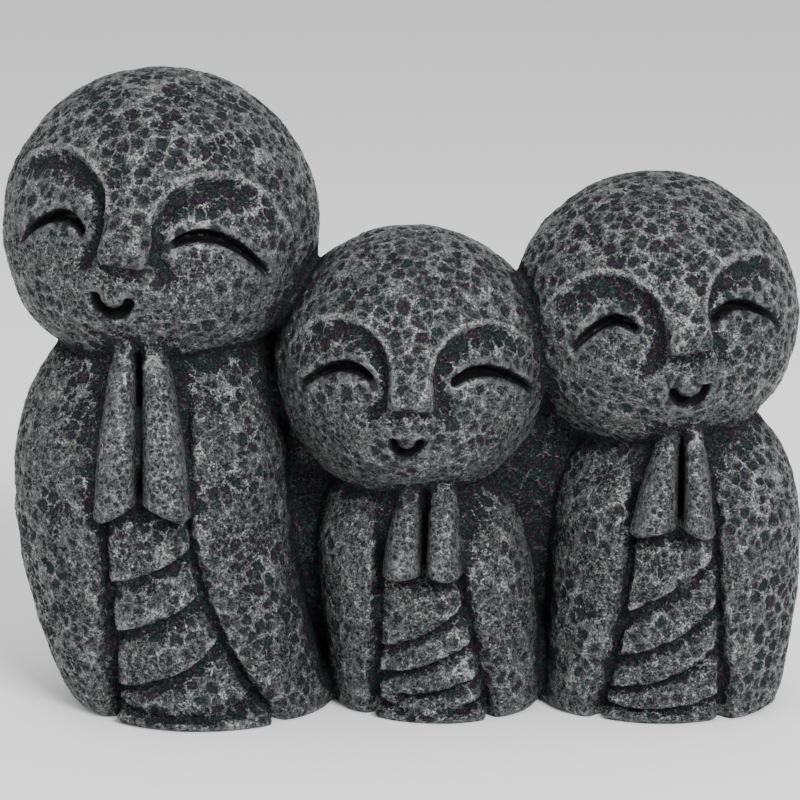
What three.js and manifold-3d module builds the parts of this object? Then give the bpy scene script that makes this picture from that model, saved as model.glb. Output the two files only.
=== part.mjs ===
// Three small praying jizo figures, cast side by side as one block of dark stone mix.
// Millimetres, +Z up, the faces towards -Y, the origin in the middle of the flat underside.
// Left and right are the viewer's.
import * as THREE from "three";
import { mergeVertices } from "three/addons/utils/BufferGeometryUtils.js";
import Module from "manifold-3d";

const wasm = await Module();
wasm.setup();

// Each figure's own sizes. standX and standY place its foot, waistX and neckX bend its axis, and headX and headY
// place its head over the chin's height. The hands' foot and the folds are heights over the underside. Angles are in
// degrees: the body's turn, the head's pose, where the eyes, the mouth and the nose's foot sit on it, and half the
// opening between the sleeves at the shoulder and at the foot. Of a pair the left one comes first. The folds run
// from the lowest up, each with its slope and how far its ends lie above its middle.
const leftFigure = {
  bodyWidth: 51, bodyDepth: 49.5, standX: -37, standY: -3.4, waistX: -46.6, neckX: -44.6, turn: 1,
  chinHeight: 63.6, headRadius: 29.7, chinShare: 0.905, headX: -44.6, headY: -1.5,
  headTurn: -8.4, headTilt: 8.8, headNod: -1.5,
  eyeLifts: [-4.6, -2.9], eyeShifts: [-3.8, 1.3], eyeReaches: [0.72, 1],
  noseFoot: -7.8, mouthTurn: -2.6, mouthReach: 0.97,
  handX: -47.7, handFoot: 41.6, handWidths: [8.5, 9.5], handTips: [4, 4.2], handSlant: 4.6,
  openTop: 18, openFoot: 42, openFlare: 4, footTurn: -4, hemSwell: 2.4,
  foldHeights: [2.4, 10.6, 20.9, 30.1], foldSlopes: [0.03, 0.41, 0.4, 0.4], foldSags: [3.8, 2.2, 1.2, 1.3],
};
const centreFigure = {
  bodyWidth: 39, bodyDepth: 37.5, standX: 7.3, standY: -5.2, waistX: 5.6, neckX: 3.2, turn: -5,
  chinHeight: 40.3, headRadius: 25.8, chinShare: 0.98, headX: 2.2, headY: -8,
  headTurn: -0.5, headTilt: 2.1, headNod: 2.5,
  eyeLifts: [-0.5, -0.7], eyeShifts: [-0.3, 3.7], eyeReaches: [0.9, 1.09],
  noseFoot: -6, mouthTurn: -1.1, mouthReach: 0.87,
  handX: 6.1, handFoot: 28.6, handWidths: [7.6, 6.8], handTips: [3.4, 4.6], handSlant: 1.2,
  openTop: 20, openFoot: 39.6, openFlare: 1.5, footTurn: -0.8, hemSwell: 1.8,
  foldHeights: [2, 5.9, 11.2, 17], foldSlopes: [0.02, 0.18, 0.35, 0.5], foldSags: [3.2, 1.2, 1.3, 1.8],
};
const rightFigure = {
  bodyWidth: 46, bodyDepth: 44, standX: 49.2, standY: -3.4, waistX: 52.4, neckX: 52, turn: -6,
  chinHeight: 48.2, headRadius: 26.95, chinShare: 0.955, headX: 47.8, headY: -3,
  headTurn: 8.6, headTilt: -6.1, headNod: 0.3,
  eyeLifts: [0.3, 0.4], eyeShifts: [-0.7, -5.9], eyeReaches: [0.72, 0.83],
  noseFoot: -5, mouthTurn: -0.6, mouthReach: 1.03,
  handX: 53.6, handFoot: 37.4, handWidths: [9.4, 6.3], handTips: [2.9, 2.8], handSlant: 2.4,
  openTop: 19.5, openFoot: 36, openFlare: 2.2, footTurn: 4, hemSwell: 0.5,
  foldHeights: [3.1, 9.1, 16, 25.9], foldSlopes: [0.08, 0.44, 0.58, 0.71], foldSags: [2.2, 2.6, 2.3, 1],
};
const figures = [leftFigure, centreFigure, rightFigure];

// The carving that the figures share.
const bellyRecess = 1.4; // how far the belly lies behind the plain body
const grooveDepth = 3.2; // the dark groove inside each sleeve's edge
const foldLip = 1.8; // how far a fold's lower edge stands out
const lipHeight = 0.6;
const sleeveSwell = 2.6; // how far a sleeve swells out beside the belly
const footTuck = 1.1; // the rounding under at the foot
const footTuckHeight = 1.6;
const handGap = 1; // between the palms
const handFront = 4.75; // how far a hand stands out before its middle
const handBack = 8; // how far it is set in behind
const noseHeight = 3.1;
const noseWidth = 9.2;
const slotDepth = 2.6; // eyes and mouth
const webFronts = [-6.8, -8]; // the fill between the bodies, left and right, from these lines back to one plane
const webBack = 8.5;
const bodyColour = 0x4d4f50;

// The plain body, as shares of its height at the neck and of its own half width and half depth.
const heightShares = [0, 0.1, 0.3, 0.55, 0.72, 0.84, 0.92, 1, 1.22];
const widthShares = [0.92, 0.955, 0.985, 1, 0.99, 0.955, 0.91, 0.82, 0.42];
const depthShares = [0.98, 1, 1, 1, 0.965, 0.89, 0.8, 0.68, 0.36];
const neckShare = 0.12; // the neck's height over the chin, as a share of the head's radius
const waistShare = 0.55;
const shoulderShares = [0.72, 1.02]; // the carving fades out between these heights

// Around the body: shares of the opening, degrees past the sleeve's edge, then shares of the rest to the back.
const bellyShares = [-1, -0.8, -0.4, 0, 0.4, 0.8, 1];
const sleeveTurns = [1.6, 10, 26, 46, 72];
const sleeveShares = [0.5, 0.88, 1, 0.72, 0.15];
const backShares = [0.35, 0.7, 1];
const foldFade = 34; // degrees past the edge at which a sleeve no longer follows the folds
const slackStart = 0.6; // where a fold's slack part ends, as a share of the way to the next fold
const slackFold = 0.75; // how far it stands out there, as a share of the lip

// The fill, from the underside to its top: shares of its height and of its thickness.
const webRises = [0, 0.84, 0.95, 1];
const webThins = [1, 1, 0.8, 0.4];
const webReach = 0.8; // how far it runs up into a head over the chin, as a share of the head's radius

// A hand, from its heel to its fingertips.
const handShares = [0, 0.06, 0.2, 0.45, 0.7, 1];
const handBulges = [0.8, 0.98, 1, 1.06, 1.06, 1]; // shares of the straight taper from heel to tip
const handDepthShares = [0.72, 0.96, 1, 0.92, 0.8, 0.6];
const handSides = 8;
const handReach = 0.3; // how far the fingertips run up behind the chin, as a share of the head's radius
const handLean = 0.16; // how far they lean back, as a share of the body's depth

// The face, in degrees of longitude and latitude on the head, for the side on the viewer's right.
const browLine = [
  [18, -16.5], [13, -12], [9.6, -6], [8.4, 0], [9, 10], [12.2, 18.2], [20.8, 25.2], [34.6, 27.8], [48.9, 23.4],
  [59.2, 14.7], [64, 5], [58, -12], [35, -20],
];
const browPush = [0.066, 0.057, -0.118]; // how far the socket's floor moves out, back and down, in head radii
const eyeMiddle = 34.5; // the longitude about which an eye is stretched
const eyeEdges = [
  [[15.5, 6.4], [24.8, 15.4], [37.5, 12.9], [53.5, -1.4]],
  [[52.8, -2.8], [37.3, 8.7], [25, 11], [16, 4]],
];
const mouthEdges = [
  [[-8.2, -19.8], [-8.6, -31.8], [8.6, -31.8], [8.2, -19.8]],
  [[5.6, -19.6], [5.4, -26.5], [-5.4, -26.5], [-5.6, -19.6]],
];
const edgeSteps = 6;
const noseLengths = [30, 19.8, 9.8, 4.2, 1.4]; // degrees over the nose's foot
const noseRises = [0, 0.34, 0.78, 1, 0.78];
const noseSpreads = [0.5, 0.66, 0.86, 1, 0.9];
const noseRidge = 0.62; // the ridge's width, as a share of the nose's
const noseRoot = 3; // how deep the nose is set into the head
const ballDetail = 5;
const pressStart = 0.45; // where the chin's flattening starts, as a share of the radius below the middle

const { clamp, degToRad, lerp, mapLinear, smoothstep } = THREE.MathUtils;

// A value read off a list by straight lines between its stops.
function along(stops, values, at) {
  const held = clamp(at, stops[0], stops.at(-1));
  const i = Math.max(stops.findIndex((stop) => stop >= held), 1);
  return mapLinear(held, stops[i - 1], stops[i], values[i - 1], values[i]);
}

// A closed mesh through rings stacked upward, each counter-clockwise from above, with fans over both ends.
function loft(rings) {
  const around = rings[0].length;
  const points = rings.flat();
  const faces = [];
  for (let r = 0; r + 1 < rings.length; r++) {
    for (let i = 0; i < around; i++) {
      const a = r * around + i;
      const b = r * around + ((i + 1) % around);
      faces.push(a, b, b + around, a, b + around, a + around);
    }
  }
  for (const r of [0, rings.length - 1]) {
    const middle = points.length;
    points.push(rings[r].reduce((sum, p) => sum.add(p), new THREE.Vector3()).divideScalar(around));
    for (let i = 0; i < around; i++) {
      const a = r * around + i;
      const b = r * around + ((i + 1) % around);
      faces.push(...(r === 0 ? [b, a, middle] : [a, b, middle]));
    }
  }
  const geometry = new THREE.BufferGeometry().setFromPoints(points);
  geometry.setIndex(faces);
  return geometry;
}

// A solid that can be joined and cut, from any closed geometry.
function solid(geometry) {
  const bare = geometry.clone();
  bare.deleteAttribute("normal");
  bare.deleteAttribute("uv");
  const merged = mergeVertices(bare, 1e-4);
  return new wasm.Manifold(new wasm.Mesh({
    numProp: 3,
    vertProperties: new Float32Array(merged.attributes.position.array),
    triVerts: new Uint32Array(merged.index.array),
  }));
}

const neckHeight = (f) => f.chinHeight + f.headRadius * neckShare;

// The body's axis at a height: through the foot, the waist and the neck on one curve.
function axisX(f, z) {
  const share = z / neckHeight(f);
  const straight = lerp(f.standX, f.neckX, waistShare);
  const bend = (f.waistX - straight) / (waistShare * (waistShare - 1));
  return lerp(f.standX, f.neckX, share) + bend * share * (share - 1);
}

// How far the foot's own opening and turn are felt at a height.
const footShare = (f, z) => clamp(1 - z / neckHeight(f), 0, 1) ** f.openFlare;

// Half the opening between the sleeves, in degrees.
const opening = (f, z) => lerp(f.openTop, f.openFoot, footShare(f, z));

// The columns of points around a body, from the belly to the back and round again. Each has its own direction, how
// much of the folds' slope it follows, and how far it stands off the plain body.
function bodyColumns() {
  const belly = bellyShares.map((share) => ({
    side: (half) => share * half,
    follow: share,
    standOff: (row) => (Math.abs(share) < 1 ? foldLip * row.fold + row.hem - bellyRecess : -grooveDepth),
  }));
  const sleeve = sleeveTurns.map((turn, i) => ({
    side: (half) => half + turn,
    follow: 1 - smoothstep(turn, 0, foldFade),
    standOff: () => sleeveSwell * sleeveShares[i],
  }));
  const back = backShares.map((share) => ({
    side: (half) => lerp(half + sleeveTurns.at(-1), 180, share),
    follow: 0,
    standOff: () => 0,
  }));
  const right = [...sleeve, ...back];
  const left = right.slice(0, -1).reverse().map((column) => ({
    ...column,
    side: (half) => -column.side(half),
    follow: -column.follow,
  }));
  return [...belly, ...right, ...left];
}

// The rows of a body from the foot up: each fold is a low edge, a lip over it and a slack part below the next.
function bodyRows(f) {
  const level = (z) => ({ z, slope: 0, fold: 0, sag: 0, tuck: 0, hem: 0 });
  const hem = f.hemSwell + bellyRecess;
  const rows = [{ ...level(0), hem, tuck: footTuck }, { ...level(footTuckHeight), hem }];
  f.foldHeights.forEach((z, i) => {
    const slack = level(lerp(z, f.foldHeights[i + 1] ?? f.handFoot, slackStart));
    const slope = f.foldSlopes[i];
    const sag = f.foldSags[i];
    slack.slope = lerp(slope, f.foldSlopes[i + 1] ?? 0, slackStart);
    slack.sag = lerp(sag, f.foldSags[i + 1] ?? 0, slackStart);
    slack.fold = slackFold;
    rows.push(
      { ...level(z - lipHeight / 2), slope, sag },
      { ...level(z + lipHeight / 2), slope, sag, fold: 1 },
      slack,
    );
  });
  const chest = f.handFoot + 2;
  rows.push(level(chest));
  const shoulder = heightShares.map((share) => share * neckHeight(f)).filter((z) => z > chest + 2);
  return rows.concat(shoulder.map(level));
}

function bodyPoint(f, row, column, floor) {
  const reach = Math.sin(degToRad(opening(f, row.z))) * f.bodyWidth / 2;
  const lift = row.slope * reach * column.follow + row.sag * column.follow ** 2;
  const z = Math.max(row.z + lift, floor);
  const share = z / neckHeight(f);
  const carving = column.standOff(row) * (1 - smoothstep(share, ...shoulderShares)) - row.tuck;
  const angle = degToRad(column.side(opening(f, z)) + f.turn + f.footTurn * footShare(f, z));
  return new THREE.Vector3(
    axisX(f, z) + (along(heightShares, widthShares, share) * f.bodyWidth / 2 + carving) * Math.sin(angle),
    f.standY - (along(heightShares, depthShares, share) * f.bodyDepth / 2 + carving) * Math.cos(angle),
    z,
  );
}

// A body, whose rows never close up to less than a hair.
function body(f) {
  const hair = 0.2;
  const columns = bodyColumns();
  const rings = [];
  for (const row of bodyRows(f)) {
    const under = rings.at(-1);
    rings.push(columns.map((column, i) => bodyPoint(f, row, column, under ? under[i].z + hair : 0)));
  }
  return solid(loft(rings));
}

// One praying hand: a tapered leaf beside the middle line, its heel cut at a slant and its back set into the chest.
function hand(f, side) {
  const top = f.chinHeight + f.headRadius * handReach;
  const front = -f.bodyDepth / 2 - bellyRecess;
  const [width, tip] = [f.handWidths, f.handTips].map((pair) => pair[side > 0 ? 1 : 0]);
  const rings = handShares.map((share, i) => {
    const half = lerp(width, tip, share) * handBulges[i] / 2;
    const middle = front + f.bodyDepth * handLean * share;
    const steps = Array.from({ length: handSides }, (_, k) => (k / handSides) * 2 * Math.PI);
    return steps.map((angle) => {
      const x = side * (handGap / 2 + half) + half * Math.cos(angle);
      const heel = f.handSlant * (1 - share) ** 2 * (0.5 - Math.abs(x) / width);
      const deep = Math.sin(angle) * (Math.sin(angle) < 0 ? handFront * handDepthShares[i] : handBack);
      const place = new THREE.Vector3(x, middle + deep, lerp(f.handFoot, top, share) + heel);
      place.applyAxisAngle(new THREE.Vector3(0, 0, 1), degToRad(f.turn));
      return place.add(new THREE.Vector3(f.handX, f.standY, 0));
    });
  });
  return solid(loft(rings));
}

// The direction of a point of the face, on the head's own axes.
function direction([longitude, latitude]) {
  const [a, b] = [degToRad(longitude), degToRad(latitude)];
  return new THREE.Vector3(Math.cos(b) * Math.sin(a), -Math.cos(b) * Math.cos(a), Math.sin(b));
}

// A cutter behind an outline on the face, which runs inward along the outline's own middle as far as a floor.
function carver(radius, outline, floor) {
  const directions = outline.map(direction);
  const middle = directions.reduce((sum, d) => sum.add(d), new THREE.Vector3()).normalize();
  const pose = new THREE.Matrix4().lookAt(middle, new THREE.Vector3(), new THREE.Vector3(0, 0, 1));
  const inverse = pose.clone().invert();
  const flat = directions.map((d) => d.clone().multiplyScalar(radius).applyMatrix4(inverse));
  const shape = new THREE.Shape(flat.map((p) => new THREE.Vector2(p.x, p.y)));
  const prism = new THREE.ExtrudeGeometry(shape, { depth: radius, bevelEnabled: false });
  prism.translate(0, 0, radius / 2);
  prism.applyMatrix4(pose);
  return solid(prism).subtract(floor);
}

// The outline of a slot, each edge bowed from its ends towards the two points between them.
function slot(edges) {
  return edges.flatMap((edge) => {
    const curve = new THREE.CubicBezierCurve(...edge.map((corner) => new THREE.Vector2(...corner)));
    return curve.getPoints(edgeSteps).map((p) => p.toArray());
  });
}

function nose(radius, foot) {
  const rings = noseLengths.map((length, i) => {
    const half = noseWidth / 2 * noseSpreads[i];
    const ridge = half * noseRidge;
    const rise = radius + noseHeight * noseRises[i];
    const root = radius - noseRoot;
    const section = [[half, root], [-half, root], [-half, radius], [-ridge, rise], [ridge, rise], [half, radius]];
    const b = degToRad(foot + length);
    return section.map(([x, r]) => new THREE.Vector3(x, -r * Math.cos(b), r * Math.sin(b)));
  });
  return solid(loft(rings.reverse()));
}

function headPose(f) {
  const angles = [f.headNod, f.headTilt, f.headTurn].map(degToRad);
  return new THREE.Quaternion().setFromEuler(new THREE.Euler(...angles, "ZXY"));
}

// A ball on the head's own axes, whose underside is pressed a little flat.
function ball(f, radius, shift = [0, 0, 0]) {
  const geometry = new THREE.IcosahedronGeometry(radius, ballDetail);
  const down = new THREE.Vector3(0, 0, -1).applyQuaternion(headPose(f).invert());
  const place = geometry.attributes.position;
  for (let i = 0; i < place.count; i++) {
    const point = new THREE.Vector3().fromBufferAttribute(place, i);
    const depth = point.dot(down);
    point.addScaledVector(down, depth * (f.chinShare - 1) * smoothstep(depth / radius, pressStart, 1));
    place.setXYZ(i, ...point);
  }
  return solid(geometry.translate(...shift));
}

function head(f) {
  const radius = f.headRadius;
  const slotFloor = ball(f, radius - slotDepth);
  let made = ball(f, radius);
  [-1, 1].forEach((side, i) => {
    const socket = browLine.map(([longitude, latitude]) => [longitude * side, latitude]);
    const eye = slot(eyeEdges).map(([longitude, latitude]) => [
      side * (eyeMiddle + (longitude - eyeMiddle) * f.eyeReaches[i]) + f.eyeShifts[i] * side,
      latitude + f.eyeLifts[i],
    ]);
    const [out, back, down] = browPush.map((share) => share * radius);
    const socketFloor = ball(f, radius, [out * side, back, down]);
    made = made.subtract(carver(radius, socket, socketFloor)).subtract(carver(radius, eye, slotFloor));
  });
  const mouth = slot(mouthEdges).map(([longitude, latitude]) => [
    longitude * f.mouthReach + f.mouthTurn,
    latitude,
  ]);
  made = made.add(nose(radius, f.noseFoot)).subtract(carver(radius, mouth, slotFloor));
  const centre = new THREE.Vector3(f.headX, f.headY, f.chinHeight + radius * f.chinShare);
  const pose = new THREE.Matrix4().compose(centre, headPose(f), new THREE.Vector3(1, 1, 1));
  return made.transform(pose.toArray());
}

// The fill between two neighbours: a slab from one body's axis to the other's, up into both heads.
function web(a, b, front) {
  const rings = webRises.map((rise, i) => {
    const row = (y, shares) => shares.map((share) => {
      const [from, to] = [a, b].map((f) => rise * (f.chinHeight + f.headRadius * webReach));
      return new THREE.Vector3(lerp(axisX(a, from), axisX(b, to), share), y, lerp(from, to, share));
    });
    const middle = (front + webBack) / 2;
    const half = (webBack - front) / 2 * webThins[i];
    return [...row(middle - half, [0, 0.5, 1]), ...row(middle + half, [1, 0.5, 0])];
  });
  return solid(loft(rings));
}

let cast = web(leftFigure, centreFigure, webFronts[0]).add(web(centreFigure, rightFigure, webFronts[1]));
for (const figure of figures) cast = cast.add(body(figure)).add(hand(figure, 1)).add(hand(figure, -1));
for (const figure of figures) cast = cast.add(head(figure));

const faceted = cast.getMesh();
const castGeometry = new THREE.BufferGeometry();
castGeometry.setAttribute("position", new THREE.BufferAttribute(faceted.vertProperties, 3));
castGeometry.setIndex(new THREE.BufferAttribute(faceted.triVerts, 1));
castGeometry.computeBoundingBox();
const box = castGeometry.boundingBox;
castGeometry.translate(-(box.min.x + box.max.x) / 2, -(box.min.y + box.max.y) / 2, -box.min.z);

const castMaterial = new THREE.MeshStandardMaterial({ color: bodyColour, roughness: 0.55, metalness: 0.25 });
const statue = new THREE.Mesh(castGeometry, castMaterial);
statue.name = "jizo_trio";

const group = new THREE.Group();
group.add(statue);
export default group;
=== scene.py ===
# Three small praying figures, cast side by side as one block of dark stone mix and dry-brushed with silver.
# The sizes below are millimetres, left and right are the viewer's.
import math

import bmesh
import bpy
import numpy as np
from mathutils import Matrix, Vector
from mathutils.bvhtree import BVHTree


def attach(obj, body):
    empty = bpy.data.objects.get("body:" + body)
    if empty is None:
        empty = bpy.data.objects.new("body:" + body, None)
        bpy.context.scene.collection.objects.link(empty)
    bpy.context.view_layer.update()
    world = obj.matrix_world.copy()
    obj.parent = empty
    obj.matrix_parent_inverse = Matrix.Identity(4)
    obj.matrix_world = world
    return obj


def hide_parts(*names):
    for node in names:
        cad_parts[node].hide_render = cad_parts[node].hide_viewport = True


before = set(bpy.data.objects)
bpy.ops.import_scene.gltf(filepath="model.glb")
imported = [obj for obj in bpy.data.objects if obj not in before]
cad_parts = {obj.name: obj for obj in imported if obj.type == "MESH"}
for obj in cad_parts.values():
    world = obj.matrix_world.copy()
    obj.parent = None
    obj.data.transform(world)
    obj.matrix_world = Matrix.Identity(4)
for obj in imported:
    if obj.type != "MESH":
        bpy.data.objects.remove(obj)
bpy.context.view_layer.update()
mm = 0.001

# Each figure: its body and the bend of its axis, its head, its hands, and the opening between its sleeves.
leftFigure = dict(
    bodyWidth=51, bodyDepth=49.5, standX=-37, standY=-3.4, waistX=-46.6, neckX=-44.6, turn=1,
    chinHeight=63.6, headRadius=29.7, chinShare=0.905, headX=-44.6, headY=-1.5,
    headTurn=-8.4, headTilt=8.8, headNod=-1.5,
    eyeLifts=(-4.6, -2.9), eyeShifts=(-3.8, 1.3), eyeReaches=(0.72, 1),
    noseFoot=-7.8, mouthTurn=-2.6, mouthReach=0.97,
    handX=-47.7, handFoot=41.6, handWidths=(8.5, 9.5), handTips=(4, 4.2), handSlant=4.6,
    openTop=18, openFoot=42, openFlare=4, footTurn=-4, hemSwell=2.4,
    foldHeights=[2.4, 10.6, 20.9, 30.1], foldSlopes=[0.03, 0.41, 0.4, 0.4], foldSags=[3.8, 2.2, 1.2, 1.3],
)
centreFigure = dict(
    bodyWidth=39, bodyDepth=37.5, standX=7.3, standY=-5.2, waistX=5.6, neckX=3.2, turn=-5,
    chinHeight=40.3, headRadius=25.8, chinShare=0.98, headX=2.2, headY=-8,
    headTurn=-0.5, headTilt=2.1, headNod=2.5,
    eyeLifts=(-0.5, -0.7), eyeShifts=(-0.3, 3.7), eyeReaches=(0.9, 1.09),
    noseFoot=-6, mouthTurn=-1.1, mouthReach=0.87,
    handX=6.1, handFoot=28.6, handWidths=(7.6, 6.8), handTips=(3.4, 4.6), handSlant=1.2,
    openTop=20, openFoot=39.6, openFlare=1.5, footTurn=-0.8, hemSwell=1.8,
    foldHeights=[2, 5.9, 11.2, 17], foldSlopes=[0.02, 0.18, 0.35, 0.5], foldSags=[3.2, 1.2, 1.3, 1.8],
)
rightFigure = dict(
    bodyWidth=46, bodyDepth=44, standX=49.2, standY=-3.4, waistX=52.4, neckX=52, turn=-6,
    chinHeight=48.2, headRadius=26.95, chinShare=0.955, headX=47.8, headY=-3,
    headTurn=8.6, headTilt=-6.1, headNod=0.3,
    eyeLifts=(0.3, 0.4), eyeShifts=(-0.7, -5.9), eyeReaches=(0.72, 0.83),
    noseFoot=-5, mouthTurn=-0.6, mouthReach=1.03,
    handX=53.6, handFoot=37.4, handWidths=(9.4, 6.3), handTips=(2.9, 2.8), handSlant=2.4,
    openTop=19.5, openFoot=36, openFlare=2.2, footTurn=4, hemSwell=0.5,
    foldHeights=[3.1, 9.1, 16, 25.9], foldSlopes=[0.08, 0.44, 0.58, 0.71], foldSags=[2.2, 2.6, 2.3, 1],
)
figures = [leftFigure, centreFigure, rightFigure]
rowMiddle = Vector((0.77, -4.34, 0))  # the middle of the row between its outermost points


# Curves and meshes.
def smoothStep(low, high, value):
    t = np.clip((value - low) / (high - low), 0, 1)
    return t * t * (3 - 2 * t)


def bell(value, middle, width):
    return np.exp(-(((value - middle) / width) ** 2))


# A smooth curve through its stops that never swings past them.
def curveThrough(stops, values, at):
    x, y = np.asarray(stops, float), np.asarray(values, float)
    gap = np.diff(x)
    slope = np.diff(y) / gap
    same = slope[:-1] * slope[1:] > 0
    total = np.where(same, slope[:-1] + slope[1:], 1)
    tangent = np.concatenate([slope[:1], np.where(same, 2 * slope[:-1] * slope[1:] / total, 0), slope[-1:]])
    held = np.clip(at, x[0], x[-1])
    i = np.clip(np.searchsorted(x, held) - 1, 0, len(x) - 2)
    t = (held - x[i]) / gap[i]
    return (y[i] * (1 + 2 * t) * (1 - t) ** 2 + y[i + 1] * t * t * (3 - 2 * t)
            + gap[i] * (tangent[i] * t * (1 - t) ** 2 + tangent[i + 1] * t * t * (t - 1)))


# A closed smooth line through points of a plane.
def closedCurve(points, steps):
    p = np.asarray(points, float)
    before, after, beyond = np.roll(p, 1, 0), np.roll(p, -1, 0), np.roll(p, -2, 0)
    line = []
    for t in np.arange(steps) / steps:
        line.append(0.5 * (2 * p + (after - before) * t + (2 * before - 5 * p + 4 * after - beyond) * t * t
                           + (3 * p - before - 3 * after + beyond) * t ** 3))
    return np.stack(line, 1).reshape(-1, 2)


# How far points lie inside a closed line, in millimetres: positive inside it.
def depthInside(points, outline):
    nearest = np.full(len(points), 1e9)
    inside = np.zeros(len(points), bool)
    for a, b in zip(outline, np.roll(outline, -1, 0)):
        along, reach = b - a, points - a
        share = np.clip(reach @ along / max(along @ along, 1e-12), 0, 1)
        nearest = np.minimum(nearest, ((reach - share[:, None] * along) ** 2).sum(1))
        if a[1] != b[1]:
            crosses = (a[1] > points[:, 1]) != (b[1] > points[:, 1])
            inside ^= crosses & (points[:, 0] < a[0] + reach[:, 1] * along[0] / along[1])
    return np.sqrt(nearest) * np.where(inside, 1, -1)


# A closed shell through rings stacked upward.
def shell(rings):
    rows, around = rings.shape[:2]
    grid = np.arange(rows * around).reshape(rows, around)
    a, b = grid[:-1], np.roll(grid[:-1], -1, 1)
    c, d = np.roll(grid[1:], -1, 1), grid[1:]
    quads = np.stack([a, b, c, d], -1).reshape(-1, 4)
    return rings.reshape(-1, 3), [quads, grid[:1, ::-1], grid[-1:]]


# Bodies.
robe = dict(
    bellyRecess=1.4, grooveDepth=3.2, foldLip=1.8, lipHeight=0.4, creaseDepth=0.6,
    sleeveSwell=2.6, footTuck=1.1, footTuckHeight=1.6, rowGap=0.35, columnSteps=22, foldFade=34,
    heights=[0, 0.1, 0.3, 0.55, 0.72, 0.84, 0.92, 1, 1.22],
    widths=[0.92, 0.955, 0.985, 1, 0.99, 0.955, 0.91, 0.82, 0.42],
    depths=[0.98, 1, 1, 1, 0.965, 0.89, 0.8, 0.68, 0.36],
    neckShare=0.12, waistShare=0.55, shoulders=(0.72, 1.02),
    bellyShares=[-1, -0.8, -0.4, 0, 0.4, 0.8, 1],
    sleeveTurns=[1.6, 10, 26, 46, 72], sleeveShares=[0.5, 0.88, 1, 0.72, 0.15],
    backShares=[0.35, 0.7, 1], slackStart=0.6, slackFold=0.75, chestStep=2,
)


def neckHeight(f):
    return f["chinHeight"] + f["headRadius"] * robe["neckShare"]


def axisX(f, z):
    share, waist = z / neckHeight(f), robe["waistShare"]
    straight = f["standX"] + (f["neckX"] - f["standX"]) * waist
    bend = (f["waistX"] - straight) / (waist * (waist - 1))
    return f["standX"] + (f["neckX"] - f["standX"]) * share + bend * share * (share - 1)


def footShare(f, z):
    return np.clip(1 - z / neckHeight(f), 0, 1) ** f["openFlare"]


def opening(f, z):
    return f["openTop"] + (f["openFoot"] - f["openTop"]) * footShare(f, z)


# The columns around a body: direction = turn + half opening * widen, then what each one does with the folds.
def robeColumns():
    columns = []
    for share in robe["bellyShares"]:
        inner = abs(share) < 1
        stand = -robe["bellyRecess"] if inner else -robe["grooveDepth"]
        columns.append((0, share, share, stand, float(inner)))
    right = []
    for turn, swell in zip(robe["sleeveTurns"], robe["sleeveShares"]):
        right.append((turn, 1, 1 - smoothStep(0, robe["foldFade"], turn), robe["sleeveSwell"] * swell, 0))
    for share in robe["backShares"]:
        right.append((robe["sleeveTurns"][-1] * (1 - share) + 180 * share, 1 - share, 0, 0, 0))
    left = [(360 - turn, -widen, -follow, stand, 0) for turn, widen, follow, stand, _ in right[-2::-1]]
    closing = (360,) + columns[0][1:]
    stops = np.array(columns + right + left + [closing], float)
    at = np.arange(0, len(stops) - 1, 1 / robe["columnSteps"])
    return [curveThrough(np.arange(len(stops)), column, at) for column in stops.T]


# The rows from the foot up: a low edge, a lip over it and a slack part below the next fold.
def robeRows(f):
    low, slack = robe["lipHeight"] / 2, robe["slackStart"]
    hem = f["hemSwell"] + robe["bellyRecess"]
    crease = -robe["creaseDepth"] / robe["foldLip"]
    rows = [(0, 0, 0, 0, robe["footTuck"], hem), (robe["footTuckHeight"], 0, 0, 0, 0, hem)]
    nextHeights = f["foldHeights"][1:] + [f["handFoot"]]
    folds = np.array([f["foldHeights"], f["foldSlopes"], f["foldSags"]]).T
    nextFolds = np.array([nextHeights, f["foldSlopes"][1:] + [0], f["foldSags"][1:] + [0]]).T
    for fold, between in zip(folds, folds + (nextFolds - folds) * slack):
        z, slope, sag = fold
        rows.append((z - low, slope, crease, sag, 0, 0))
        rows.append((z + low, slope, 1, sag, 0, 0))
        rows.append((between[0], between[1], robe["slackFold"], between[2], 0, 0))
    chest = f["handFoot"] + robe["chestStep"]
    rows.append((chest, 0, 0, 0, 0, 0))
    rows += [(share * neckHeight(f), 0, 0, 0, 0, 0) for share in robe["heights"]
             if share * neckHeight(f) > chest + robe["chestStep"]]
    stops = np.array(rows, float)
    at = [0]
    for i, rise in enumerate(np.diff(stops[:, 0])):
        steps = max(int(math.ceil(rise / robe["rowGap"])), 2)
        at += [i + (k + 1) / steps for k in range(steps)]
    at = np.array(at)
    heights = np.interp(at, np.arange(len(stops)), stops[:, 0])
    return [heights] + [curveThrough(np.arange(len(stops)), row, at) for row in stops.T[1:]]


def body(f):
    turn, widen, follow, stand, isBelly = robeColumns()
    rowZ, slope, fold, sag, tuck, hem = [row[:, None] for row in robeRows(f)]
    reach = np.sin(np.radians(opening(f, rowZ))) * f["bodyWidth"] / 2
    z = rowZ + slope * reach * follow + sag * follow ** 2
    z = np.maximum.accumulate(np.maximum(z, 0), 0)
    share = z / neckHeight(f)
    carving = stand + isBelly * (robe["foldLip"] * fold + hem)
    carving = carving * (1 - smoothStep(*robe["shoulders"], share)) - tuck
    angle = np.radians(turn + widen * opening(f, z) + f["turn"] + f["footTurn"] * footShare(f, z))
    wide = curveThrough(robe["heights"], robe["widths"], share) * f["bodyWidth"] / 2 + carving
    deep = curveThrough(robe["heights"], robe["depths"], share) * f["bodyDepth"] / 2 + carving
    return shell(np.stack([axisX(f, z) + wide * np.sin(angle), f["standY"] - deep * np.cos(angle), z], -1))


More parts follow.
